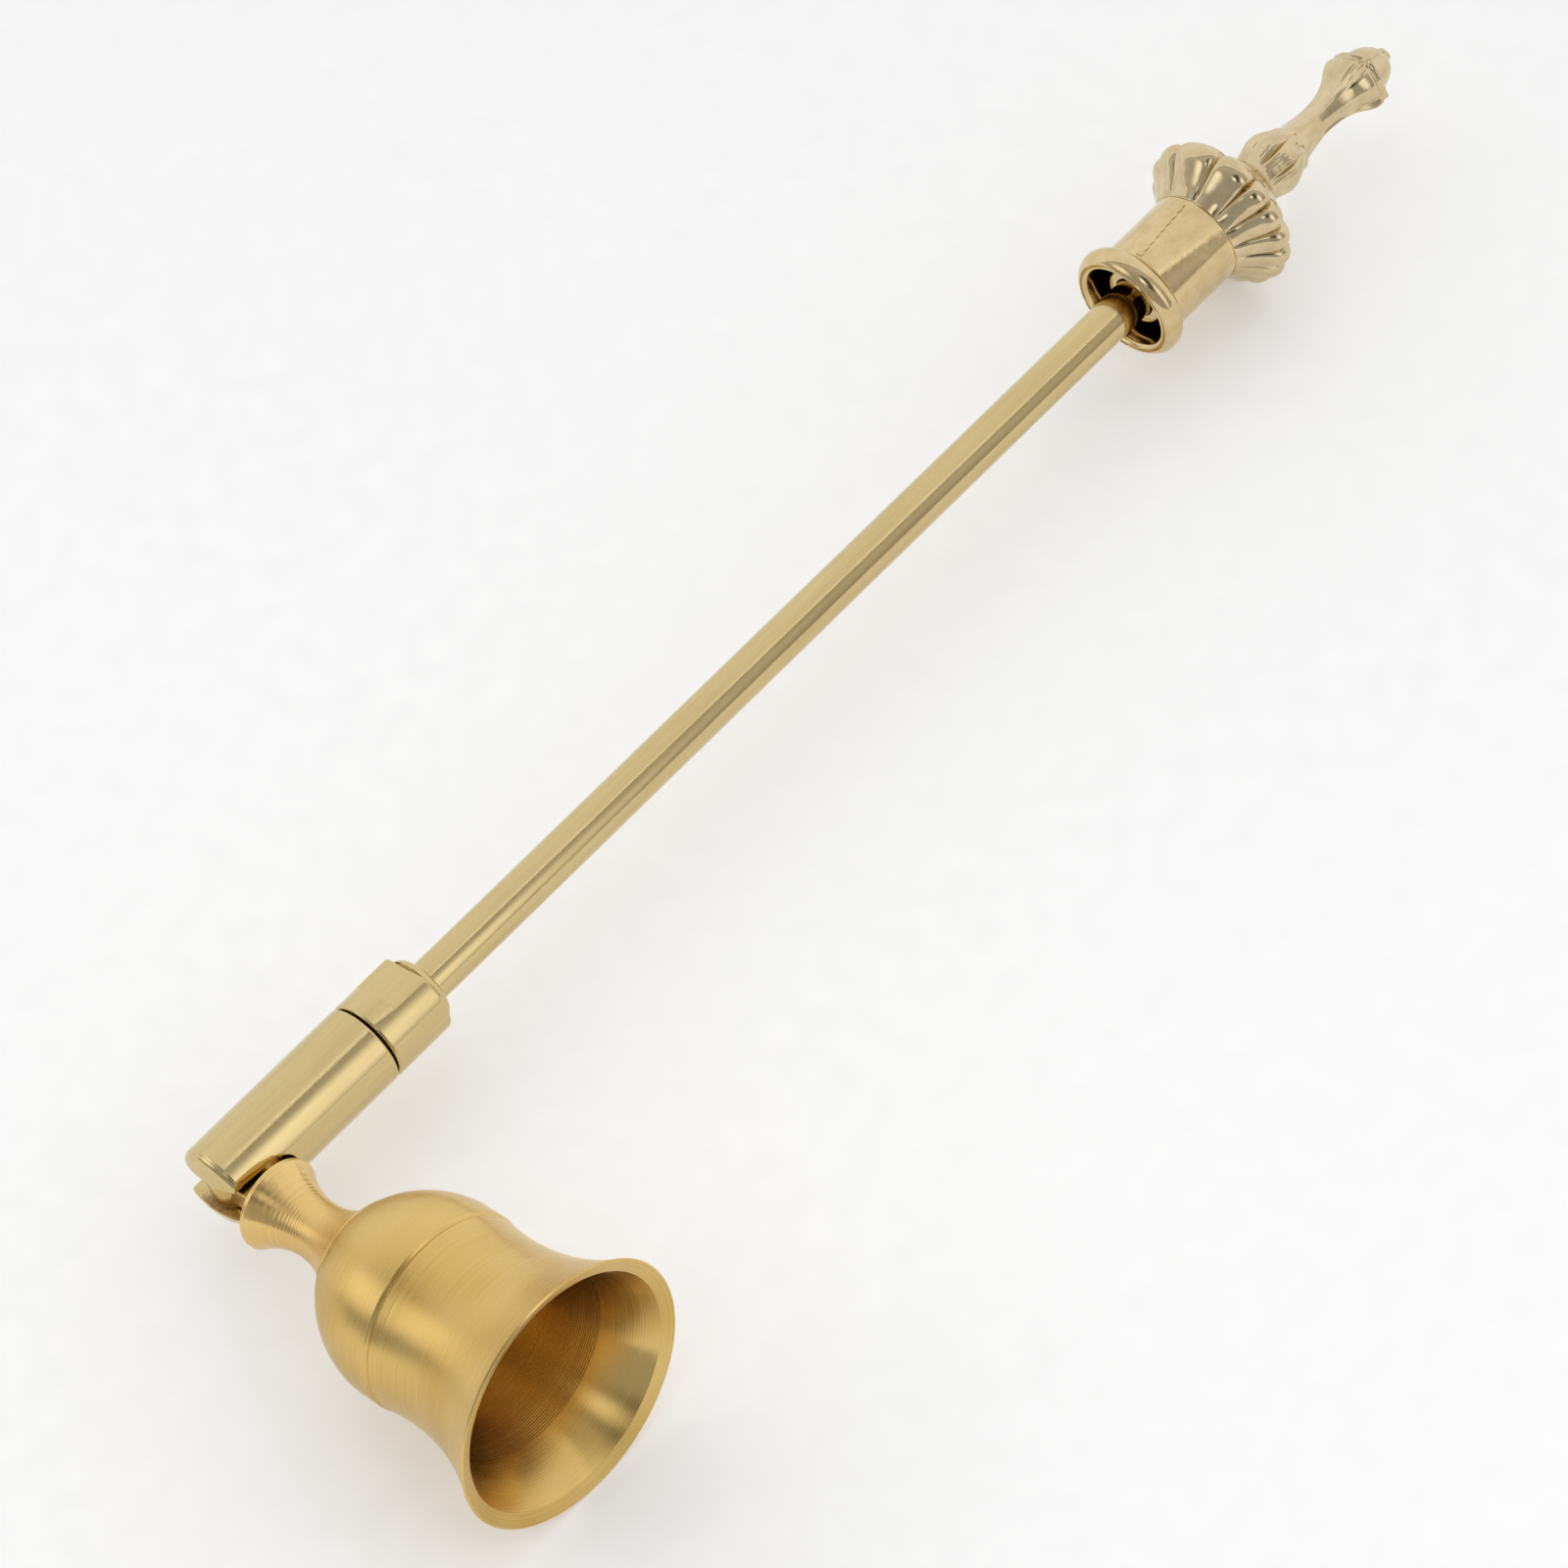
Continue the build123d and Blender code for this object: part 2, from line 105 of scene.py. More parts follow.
def turnedBrass(name, look):
    material, tree, bsdf = startMaterial(name, look)
    where = addNode(tree, "ShaderNodeTexCoord")
    straight = addNode(tree, "ShaderNodeMapping", {"Rotation": bellTurn.inverted().to_euler()},
                       {"Vector": where.outputs["Object"]})  # X along the bell
    parts = addNode(tree, "ShaderNodeSeparateXYZ", {}, {"Vector": straight.outputs["Vector"]})
    flat = addNode(tree, "ShaderNodeVectorMath", {1: (0, 1, 1)}, {0: straight.outputs["Vector"]}, operation="MULTIPLY")
    radius = addNode(tree, "ShaderNodeVectorMath", {}, {0: flat.outputs["Vector"]}, operation="LENGTH")
    feed = addNode(tree, "ShaderNodeMath", {}, {0: parts.outputs["X"], 1: radius.outputs["Value"]}, operation="ADD")
    rings = addNode(tree, "ShaderNodeTexNoise", {"Scale": 1 / (look["ringPitch"] * mm), "Detail": 1.0,
                                                 "Roughness": 0.6},
                    {"W": feed.outputs["Value"]}, noise_dimensions="1D")
    width, length = look["streak"]
    spoke = addNode(tree, "ShaderNodeVectorMath", {}, {0: flat.outputs["Vector"]}, operation="NORMALIZE")
    arc = addNode(tree, "ShaderNodeVectorMath", {"Scale": look["bodyRadius"] / length}, {0: spoke.outputs["Vector"]},
                  operation="SCALE")
    row = addNode(tree, "ShaderNodeMath", {1: 1 / (width * mm)}, {0: feed.outputs["Value"]}, operation="MULTIPLY")
    lengthwise = addNode(tree, "ShaderNodeCombineXYZ", {}, {"X": row.outputs["Value"]})
    wound = addNode(tree, "ShaderNodeVectorMath", {}, {0: arc.outputs["Vector"], 1: lengthwise.outputs["Vector"]},
                    operation="ADD")
    streaks = addNode(tree, "ShaderNodeTexNoise", {"Scale": 1.0, "Detail": 1.5, "Roughness": 0.6},
                      {"Vector": wound.outputs["Vector"]})
    broad = addNode(tree, "ShaderNodeTexNoise", {"Scale": 1 / (14 * mm), "Detail": 1.0},
                    {"Vector": where.outputs["Object"]})
    toneMix = addNode(tree, "ShaderNodeMath", {1: 0.5}, {0: streaks.outputs["Fac"], 2: broad.outputs["Fac"]},
                      operation="MULTIPLY_ADD")
    toneShift = addNode(tree, "ShaderNodeMath", {1: 0.25}, {0: toneMix.outputs["Value"]}, operation="SUBTRACT")
    tree.links.new(tuneTone(tree, toneShift.outputs["Value"], look["tones"]), bsdf.inputs["Base Color"])
    low, high = look["roughness"]
    gloss = addNode(tree, "ShaderNodeMapRange", {"From Min": 0.3, "From Max": 0.7, "To Min": low, "To Max": high},
                    {"Value": streaks.outputs["Fac"]})
    tree.links.new(gloss.outputs["Result"], bsdf.inputs["Roughness"])
    height = rings.outputs["Fac"]
    if "threadPitch" in look:  # evenly spaced tool marks, where the feed was coarse
        wave = addNode(tree, "ShaderNodeMath", {1: 2 * math.pi / (look["threadPitch"] * mm)},
                       {0: feed.outputs["Value"]},
                       operation="MULTIPLY")
        crest = addNode(tree, "ShaderNodeMath", {}, {0: wave.outputs["Value"]}, operation="SINE")
        height = addNode(tree, "ShaderNodeMath", {1: look["threadShare"]}, {0: crest.outputs["Value"], 2: height},
                         operation="MULTIPLY_ADD").outputs["Value"]
    lift = addNode(tree, "ShaderNodeBump", {"Strength": 1.0, "Distance": look["ringHeight"] * mm}, {"Height": height})
    tree.links.new(lift.outputs["Normal"], bsdf.inputs["Normal"])
    down = addNode(tree, "ShaderNodeVectorMath", {1: (0.5, 0.5, 0.5), 2: (1, 0, 0)}, {0: spoke.outputs["Vector"]},
                   operation="MULTIPLY_ADD")  # across the rings, where they spread the light
    laid = addNode(tree, "ShaderNodeMapping", {"Rotation": bellTurn.to_euler()}, {"Vector": down.outputs["Vector"]})
    swung = addNode(tree, "ShaderNodeVectorTransform", {}, {"Vector": laid.outputs["Vector"]}, vector_type="VECTOR",
                    convert_from="OBJECT", convert_to="WORLD")
    tree.links.new(swung.outputs["Vector"], bsdf.inputs["Tangent"])
    return material


satinBrass = turnedBrass("satinTurnedBrass", satinLook)
boreLook = {**satinLook, "threadPitch": 0.36, "threadShare": 0.9, "ringHeight": 0.010, "roughness": (0.22, 0.26),
            "streak": (0.3, 60.0), "tones": [(0.3, "#D6B269"), (0.5, "#DCBA72"), (0.7, "#E1C27C")]}
boredBrass = turnedBrass("boredBrass", boreLook)
trimLook = {**satinLook, "threadPitch": 0.5, "threadShare": 0.4, "ringHeight": 0.003, "roughness": (0.22, 0.28),
            "anisotropic": 0.7, "streak": (0.3, 60.0)}
trimmedBrass = turnedBrass("trimmedBrass", trimLook)  # flare and rim, cut last with a keen tool
neckLook = {**satinLook, "threadPitch": 0.42, "threadShare": 1.0, "ringHeight": 0.012, "bodyRadius": 5.0,
            "roughness": (0.22, 0.28),
            "tones": [(0.3, "#DAB670"), (0.5, "#E4C27E"), (0.7, "#ECCD8C")]}  # real marks are 0.29 apart
neckBrass = turnedBrass("ridgeTurnedBrass", neckLook)

# bar plated in pale gold over a drawn finish: glossy, with faint lengthwise waver and a few pinpricks
barLook = {
    "metallic": 1,
    "tones": [(0.35, "#CCB681"), (0.5, "#D0BA86"), (0.65, "#D3BE8A")],
    "roughness": (0.10, 0.16),
    "draw": (1.4, 14.0),     # width and length of a draw mark
    "peel": 0.45,            # plating's grain, drawn coarser than the real 0.1
    "drawHeight": 0.003,
    "peelHeight": 0.0022,
}


def platedBar(name, look):
    material, tree, bsdf = startMaterial(name, look)
    where = addNode(tree, "ShaderNodeTexCoord")
    width, length = look["draw"]
    stretch = addNode(tree, "ShaderNodeMapping", {"Scale": (1 / (length * mm), 1 / (width * mm), 1 / (width * mm))},
                      {"Vector": where.outputs["Object"]})
    marks = addNode(tree, "ShaderNodeTexNoise", {"Scale": 1.0, "Detail": 3.0, "Roughness": 0.6},
                    {"Vector": stretch.outputs["Vector"]})
    peel = addNode(tree, "ShaderNodeTexNoise", {"Scale": 1 / (look["peel"] * mm), "Detail": 2.0},
                   {"Vector": where.outputs["Object"]})
    tree.links.new(tuneTone(tree, marks.outputs["Fac"], look["tones"]), bsdf.inputs["Base Color"])
    low, high = look["roughness"]
    gloss = addNode(tree, "ShaderNodeMapRange", {"From Min": 0.3, "From Max": 0.7, "To Min": low, "To Max": high},
                    {"Value": peel.outputs["Fac"]})
    tree.links.new(gloss.outputs["Result"], bsdf.inputs["Roughness"])
    waver = addNode(tree, "ShaderNodeBump", {"Strength": 1.0, "Distance": look["drawHeight"] * mm},
                    {"Height": marks.outputs["Fac"]})
    grain = addNode(tree, "ShaderNodeBump", {"Strength": 1.0, "Distance": look["peelHeight"] * mm},
                    {"Height": peel.outputs["Fac"], "Normal": waver.outputs["Normal"]})
    tree.links.new(grain.outputs["Normal"], bsdf.inputs["Normal"])
    return material


goldPlatedBar = platedBar("goldPlatedBar", barLook)

# the same plating on the fork's lower ear, rough and pitted, with painted shade: a dull brownish beige that stands in
# for the ear's shade and the dark floor it reflects
lowerEarShadeAndPitsLook = {
    "place": (-4.6, 0.0, -4.6),  # from the hinge, in the fork's own directions
    "reach": (4.6, 2.4),
    "tones": [(0.3, "#8F7550"), (0.5, "#A68A60"), (0.7, "#BFA577")],
    "pit": 0.5,
    "roughness": (0.34, 0.5),
    "pitHeight": 0.03,
}


def shadedPittedEarBar(name, look, earShadeAndPits):
    material = platedBar(name, look)
    tree = material.node_tree
    bsdf = tree.nodes["Principled BSDF"]
    where = addNode(tree, "ShaderNodeTexCoord")
    middle = forkPlace @ (Vector(earShadeAndPits["place"]) * mm)
    away = addNode(tree, "ShaderNodeVectorMath", {1: middle}, {0: where.outputs["Object"]}, operation="DISTANCE")
    pits = addNode(tree, "ShaderNodeTexNoise", {"Scale": 1 / (earShadeAndPits["pit"] * mm), "Detail": 3.0, "Roughness": 0.65},
                   {"Vector": where.outputs["Object"]})
    ragged = addNode(tree, "ShaderNodeMath", {1: 2.0 * mm}, {0: pits.outputs["Fac"], 2: away.outputs["Value"]},
                     operation="MULTIPLY_ADD")
    outer, inner = [reach * mm for reach in earShadeAndPits["reach"]]
    # patch on the lower ear that carries the painted shade together with the duller roughness and the pits
    shadeAndPitPatch = addNode(tree, "ShaderNodeMapRange", {"From Min": outer + mm, "From Max": inner + mm},
                     {"Value": ragged.outputs["Value"]}, interpolation_type="SMOOTHSTEP")
    plating = bsdf.inputs["Base Color"].links[0].from_socket
    # painted shade: these darker brownish tones stand in for the lower ear's shade and its reflection of the dark floor
    paintedShadeTone = tuneTone(tree, pits.outputs["Fac"], earShadeAndPits["tones"])
    tone = addNode(tree, "ShaderNodeMix", {}, {"Factor": shadeAndPitPatch.outputs["Result"], 6: plating, 7: paintedShadeTone},
                   data_type="RGBA")
    tree.links.new(tone.outputs[2], bsdf.inputs["Base Color"])
    gloss = bsdf.inputs["Roughness"].links[0].from_socket
    low, high = earShadeAndPits["roughness"]
    dull = addNode(tree, "ShaderNodeMapRange", {"From Min": 0.3, "From Max": 0.7, "To Min": low, "To Max": high},
                   {"Value": pits.outputs["Fac"]})
    gloss = addNode(tree, "ShaderNodeMix", {}, {"Factor": shadeAndPitPatch.outputs["Result"], 2: gloss,
                                                3: dull.outputs["Result"]})
    tree.links.new(gloss.outputs[0], bsdf.inputs["Roughness"])
    depth = addNode(tree, "ShaderNodeMath", {}, {0: pits.outputs["Fac"], 1: shadeAndPitPatch.outputs["Result"]},
                    operation="MULTIPLY")
    pitted = addNode(tree, "ShaderNodeBump", {"Strength": 1.0, "Distance": earShadeAndPits["pitHeight"] * mm},
                     {"Height": depth.outputs["Value"], "Normal": bsdf.inputs["Normal"].links[0].from_socket})
    tree.links.new(pitted.outputs["Normal"], bsdf.inputs["Normal"])
    return material


shadedPittedPlatedBar = shadedPittedEarBar("shadedPittedPlatedBar", barLook, lowerEarShadeAndPitsLook)

# zinc casting polished and plated in pale gold: bright, with the soft waviness of a casting
castLook = {
    "metallic": 1,
    "tones": [(0.3, "#C8B48B"), (0.5, "#D3C098"), (0.7, "#DCCAA4")],
    "roughness": (0.08, 0.15),
    "draw": (2.6, 3.4),
    "peel": 0.6,
    "drawHeight": 0.012,
    "peelHeight": 0.004,
}
goldPlatedCasting = platedBar("goldPlatedCasting", castLook)
socketLook = {**castLook, "tones": [(0.3, "#CBB382"), (0.5, "#D6BE8E"), (0.7, "#DDC798")]}
goldPlatedSocket = platedBar("goldPlatedSocketCasting", socketLook)  # plated thicker, so a little yellower

# brass left bright from the cutter: warmer than the plating
brightLook = {**barLook, "tones": [(0.35, "#C4A258"), (0.5, "#CFAE66"), (0.65, "#D8B872")], "roughness": (0.16, 0.26)}
brightBrass = platedBar("brightCutBrass", brightLook)

# zinc plated steel: cold grey and slightly dull
steelLook = {**barLook, "tones": [(0.35, "#8E9092"), (0.5, "#9B9DA0"), (0.65, "#A8AAAC")], "roughness": (0.28, 0.4)}
zincSteel = platedBar("zincPlatedSteel", steelLook)

# vulcanised fibre: dull near black with a felted grain
fibreLook = {**barLook, "metallic": 0, "tones": [(0.35, "#14110E"), (0.5, "#1C1814"), (0.65, "#28221C")],
             "roughness": (0.65, 0.85), "draw": (0.3, 0.3)}
darkFibre = platedBar("vulcanisedFibre", fibreLook)

finishes = {
    "fork_barrel": shadedPittedPlatedBar, "swivel_collar": goldPlatedBar, "ferrule": goldPlatedBar, "rod": goldPlatedBar,
    "knuckle": brightBrass, "pivot_screw": brightBrass, "upper_pivot_washer": brightBrass,
    "lower_pivot_washer": brightBrass, "stud_washer": brightBrass, "stud_nut": brightBrass,
    "swivel_bolt": zincSteel, "spring_washer": zincSteel, "thrust_washer": darkFibre,
    "bell_cup": satinBrass, "neck_spool": neckBrass,
    "handle_socket": goldPlatedSocket, "fluted_collar": goldPlatedCasting, "finial": goldPlatedCasting,
}
for name, material in finishes.items():
    node = frame["nodes"][name]
    node.data.materials.clear()
    node.data.materials.append(material)
print("materials set:", len(bpy.data.materials))


def arcThrough(start, middle, end, count):
    (ax, ay), (bx, by), (cx, cy) = start, middle, end
    d = 2 * (ax * (by - cy) + bx * (cy - ay) + cx * (ay - by))
    aa, bb, cc = ax * ax + ay * ay, bx * bx + by * by, cx * cx + cy * cy
    centre = Vector(((aa * (by - cy) + bb * (cy - ay) + cc * (ay - by)) / d,
                     (aa * (cx - bx) + bb * (ax - cx) + cc * (bx - ax)) / d))
    arm = Vector(start) - centre
    turn = arm.angle_signed(Vector(end) - centre)
    line = []
    for k in range(count + 1):
        spoke = arm.copy()
        spoke.rotate(Matrix.Rotation(-turn * k / count, 2))
        line.append((*(centre + spoke), 0))
    return line


def softenCorners(corners, steps=5):
    line = []
    for i, (along, radius, soft) in enumerate(corners):
        here = Vector((along, radius))
        if soft == 0:
            line.append(here)
            continue
        start = here + (Vector(corners[i - 1][:2]) - here).normalized() * soft
        end = here + (Vector(corners[(i + 1) % len(corners)][:2]) - here).normalized() * soft
        for k in range(steps + 1):
            way = k / steps
            line.append(start * (1 - way) ** 2 + here * 2 * way * (1 - way) + end * way ** 2)
    return line


def turnOnLathe(shape, corners, steps):
    line = softenCorners(corners)
    verts = [shape.verts.new((p.x * mm, p.y * mm, 0)) for p in line]
    edges = [shape.edges.new((verts[i - 1], verts[i])) for i in range(len(verts))]
    bmesh.ops.spin(shape, geom=verts + edges, cent=(0, 0, 0), axis=(1, 0, 0), angle=2 * math.pi, steps=steps,
                   use_merge=True)


def stackRings(shape, rings):
    loops = [[shape.verts.new(Vector(p) * mm) for p in ring] for ring in rings]
    for lower, upper in zip(loops, loops[1:]):
        for k in range(len(lower)):
            shape.faces.new((lower[k - 1], lower[k], upper[k], upper[k - 1]))
    shape.faces.new(loops[0])
    shape.faces.new(loops[-1])


def finishPiece(name, shape, place, body, materials, sharp=30):
    bmesh.ops.recalc_face_normals(shape, faces=shape.faces)
    shape.transform(place.to_3x3().to_4x4())
    mesh = bpy.data.meshes.new(name)
    shape.to_mesh(mesh)
    shape.free()
    mesh.shade_smooth()
    mesh.set_sharp_from_angle(angle=math.radians(sharp))
    for material in materials:
        mesh.materials.append(material)
    piece = bpy.data.objects.new(name, mesh)
    bpy.context.scene.collection.objects.link(piece)
    piece.location = place.translation
    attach(piece, body)
    print("piece made:", name, len(mesh.polygons), "faces")
    return piece


# bell cup, from its crown round the rim and back up the bore
bellCup = {
    "top": 25.0, "hole": 2.02, "shoulder": 9.4, "shoulderEdge": 0.3,
    "domeEnd": 35.0, "dome": 13.9, "domeBow": 0.95,
    "groove": 38.9, "grooveWidth": 0.7, "grooveDepth": 0.4,
    "skirtTop": 13.7, "waist": (43.5, 13.4), "scribe": 40.6, "scribeDepth": 0.03,
    "rim": 60.5, "lip": 18.5, "edge": 0.25, "bevel": (0.75, 1.75),
    "boreEdge": (52.4, 13.1), "flareBow": 0.25, "boreEnd": (35.5, 12.21), "crown": 30.5, "corner": 5.0,
    "steps": 288,
}


def makeBellCup(cup):
    top, rim, lip, edge = cup["top"], cup["rim"], cup["lip"], cup["edge"]
    bevel = (rim - cup["bevel"][0], lip - edge - cup["bevel"][1])
    domeStart, domeEnd = (top + cup["shoulderEdge"], cup["shoulder"]), (cup["domeEnd"], cup["dome"])
    across = Vector(domeEnd) - Vector(domeStart)
    domeMiddle = (Vector(domeStart) + Vector(domeEnd)) / 2 + Vector((-across.y, across.x)).normalized() * cup["domeBow"]
    inward = Vector(cup["boreEdge"]) - Vector(bevel)
    flareMiddle = (Vector(bevel) + Vector(cup["boreEdge"])) / 2
    flareMiddle += Vector((-inward.y, inward.x)).normalized() * cup["flareBow"]
    grooveStart, grooveEnd = cup["groove"] - cup["grooveWidth"] / 2, cup["groove"] + cup["grooveWidth"] / 2
    foot, corner, crown = cup["boreEnd"][1], cup["corner"], cup["crown"]
    cut = corner * (1 - math.sqrt(0.5))
    outline = [(top, cup["hole"], 0), (top, cup["shoulder"] - cup["shoulderEdge"], 0.1)]
    outline += arcThrough(domeStart, domeMiddle, domeEnd, 30)
    outline += [(grooveStart, cup["dome"], 0.14), (cup["groove"], cup["dome"] - cup["grooveDepth"], 0.1)]
    skirt = arcThrough((grooveEnd, cup["skirtTop"]), cup["waist"], (rim - edge, lip), 120)
    scribe = min(range(len(skirt)), key=lambda i: abs(skirt[i][0] - cup["scribe"]))
    skirt[scribe] = (skirt[scribe][0], skirt[scribe][1] - cup["scribeDepth"], 0)
    outline += skirt
    outline += [(rim, lip - edge, 0.08)]
    outline += arcThrough(bevel, flareMiddle, cup["boreEdge"], 24)
    outline += [(cup["boreEnd"][0] + 8, foot + 0.42, 0)]
    outline += arcThrough(cup["boreEnd"], (crown + cut, foot - cut), (crown, foot - corner), 12)
    outline += [(crown, cup["hole"], 0)]
    shape = bmesh.new()
    turnOnLathe(shape, outline, cup["steps"])
    bmesh.ops.recalc_face_normals(shape, faces=shape.faces)
    for face in shape.faces:
        spoke = face.calc_center_median() * Vector((0, 1, 1))
        along = face.calc_center_median().x / mm
        if along > bevel[0] and face.normal.x > 0.5 or face.normal.dot(spoke) < 0 and along > cup["boreEdge"][0]:
            face.material_index = 2
        elif face.normal.dot(spoke) < 0 and spoke.length > 5 * mm:
            face.material_index = 1
    piece = finishPiece("bellCup", shape, bellPlace, "bell", [satinBrass, boredBrass, trimmedBrass])
    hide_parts("bell_cup")


makeBellCup(bellCup)

# neck spool, waisted between the knuckle and the bell
neckSpool = {
    "start": 8.3, "end": 25.0, "hole": 2.02, "flange": 6.35, "flangeEdge": 0.6, "waist": (16.0, 3.95),
    "base": 8.9, "baseEdge": 0.3, "steps": 192,
}


def flareFrom(waist, end, count):
    run, rise = end[0] - waist[0], end[1] - waist[1]
    radius = (run * run + rise * rise) / (2 * rise)
    full = math.asin(run / radius)
    turns = [full * k / count for k in range(count + 1)]
    return [(waist[0] + radius * math.sin(t), waist[1] + radius * (1 - math.cos(t)), 0) for t in turns]


def makeNeckSpool(neck):
    flangeEdge = (neck["start"] + neck["flangeEdge"], neck["flange"])
    baseEdge = (neck["end"] - neck["baseEdge"], neck["base"])
    outline = [(neck["start"], neck["hole"], 0), (neck["start"], neck["flange"], 0.15)]
    outline += list(reversed(flareFrom(neck["waist"], flangeEdge, 28)))
    outline += flareFrom(neck["waist"], baseEdge, 28)[1:]
    outline += [(neck["end"], neck["base"], 0.1), (neck["end"], neck["hole"], 0)]
    shape = bmesh.new()
    turnOnLathe(shape, outline, neck["steps"])
    piece = finishPiece("neckSpool", shape, bellPlace, "bell", [neckBrass])
    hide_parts("neck_spool")


makeNeckSpool(neckSpool)

# milled and turned parts with their edges eased by polishing before they were plated
easedEdges = {
    "forkBarrel": {"node": "fork_barrel", "body": "fork", "slot": "plated_bar", "finish": shadedPittedPlatedBar, "edge": 0.14},
    "swivelCollar": {"node": "swivel_collar", "body": "grip", "slot": "plated_bar", "finish": goldPlatedBar,
                     "edge": 0.16},
    "hingeKnuckle": {"node": "knuckle", "body": "bell", "slot": "bright_brass", "finish": brightBrass, "edge": 0.14},
}


def easeEdges(name, part):
    shape = bmesh.new()
    shape.from_mesh(frame["nodes"][part["node"]].data)
    bmesh.ops.remove_doubles(shape, verts=shape.verts, dist=0.002 * mm)
    bmesh.ops.dissolve_limit(shape, angle_limit=math.radians(0.5), verts=shape.verts, edges=shape.edges)
    keen = [edge for edge in shape.edges if edge.calc_face_angle(0) > math.radians(28)]
    bmesh.ops.bevel(shape, geom=keen, offset=part["edge"] * mm, segments=3, profile=0.5, affect="EDGES",
                    clamp_overlap=False)
    piece = finishPiece(name, shape, Matrix(), part["body"], [part["finish"]], 60)
    even = piece.modifiers.new("evenShading", "WEIGHTED_NORMAL")  # keeps flats flat beside their eased edges
    even.keep_sharp = True
    even.weight = 80
    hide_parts(part["node"])


for name, part in easedEdges.items():
    easeEdges(name, part)

# fork's two ears end in full domes
noseDome = {"upper": 2.3, "lower": 2.8, "outside": 5.96, "height": 1.78, "ear": 4.72, "taper": 5.0,
            "slot": 2.62, "steps": 240}


def makeNoseDome(dome):
    shape = bmesh.new()
    for side, nose in ((1, dome["upper"]), (-1, dome["lower"])):
        half = bmesh.new()
        outside = dome["outside"] - 0.12
        outline = [(-nose + 0.5, 2.0, 0), (-nose + 0.5, dome["outside"] - 0.05, 0), (-nose, dome["outside"], 0.03)]
        for k in range(25):
            lean = math.radians(70) * k / 24
            outline.append((-nose - 0.02 - dome["height"] * math.sin(lean), outside * math.cos(lean), 0))
        turnOnLathe(half, outline, dome["steps"])
        planes = [((0, 0, side * dome["slot"]), (0, 0, -side))]
        for hand in (1, -1):
            lean = math.radians(dome["taper"])
            planes.append(((-dome["upper"], hand * dome["ear"], 0), (-math.sin(lean), hand * math.cos(lean), 0)))
        for place, outward in planes:
            bmesh.ops.bisect_plane(half, geom=half.verts[:] + half.edges[:] + half.faces[:],
                                   plane_co=Vector(place) * mm,
                                   plane_no=outward, clear_outer=True)
            bmesh.ops.holes_fill(half, edges=[edge for edge in half.edges if edge.is_boundary])
        part = bpy.data.meshes.new("noseHalf")
        half.to_mesh(part)
        half.free()
        shape.from_mesh(part)
        bpy.data.meshes.remove(part)
    finishPiece("noseDome", shape, forkPlace, "fork", [shadedPittedPlatedBar], 25)


makeNoseDome(noseDome)

# ferrule: a rounded ring behind a fine groove, with its plug inside the collar
ferruleRing = {"plug": 31.0, "plugRadius": 3.68, "start": 34.8, "end": 36.1, "groove": 0.2, "grooveRadius": 4.75,
               "outside": 5.1, "mouth": 3.75, "hole": 2.32, "steps": 160}


def makeFerruleRing(ring):
    start, end = ring["start"], ring["end"]
    outline = [(ring["plug"], ring["hole"], 0), (ring["plug"], ring["plugRadius"], 0.1), (start, ring["plugRadius"], 0)]
    outline += [(start, ring["grooveRadius"], 0), (start + ring["groove"], ring["grooveRadius"], 0)]
    outline += arcThrough((start + ring["groove"], ring["outside"] - 0.05), (start + 0.75, ring["outside"] - 0.2),
                          (end, ring["mouth"]), 16)
    outline += [(end, ring["hole"], 0)]
    shape = bmesh.new()
    turnOnLathe(shape, outline, ring["steps"])
    piece = finishPiece("ferruleRing", shape, gripPlace, "grip", [goldPlatedBar])
    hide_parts("ferrule")


makeFerruleRing(ferruleRing)

# handle socket: tube with a rolled bead at its mouth, a hub round the rod and two webs
handleSocket = {
    "start": 178.5, "end": 194.9, "outside": 7.2, "inside": 6.3, "floor": 190.9, "hole": 2.22,
    "bead": 8.8, "beadWidth": 4.0, "mouth": 6.8,
    "hubStart": 181.2, "hub": 4.45, "recess": 3.2, "recessEnd": 182.7, "rodHole": 3.02,
    "webWidth": 2.8, "webTurn": 24.0, "steps": 192,
    "seamTurn": (90.0, 82.0), "seamWidth": 8.0, "seamHeight": 0.14, "seamStart": 183.0, "seamEnd": 193.9,
}


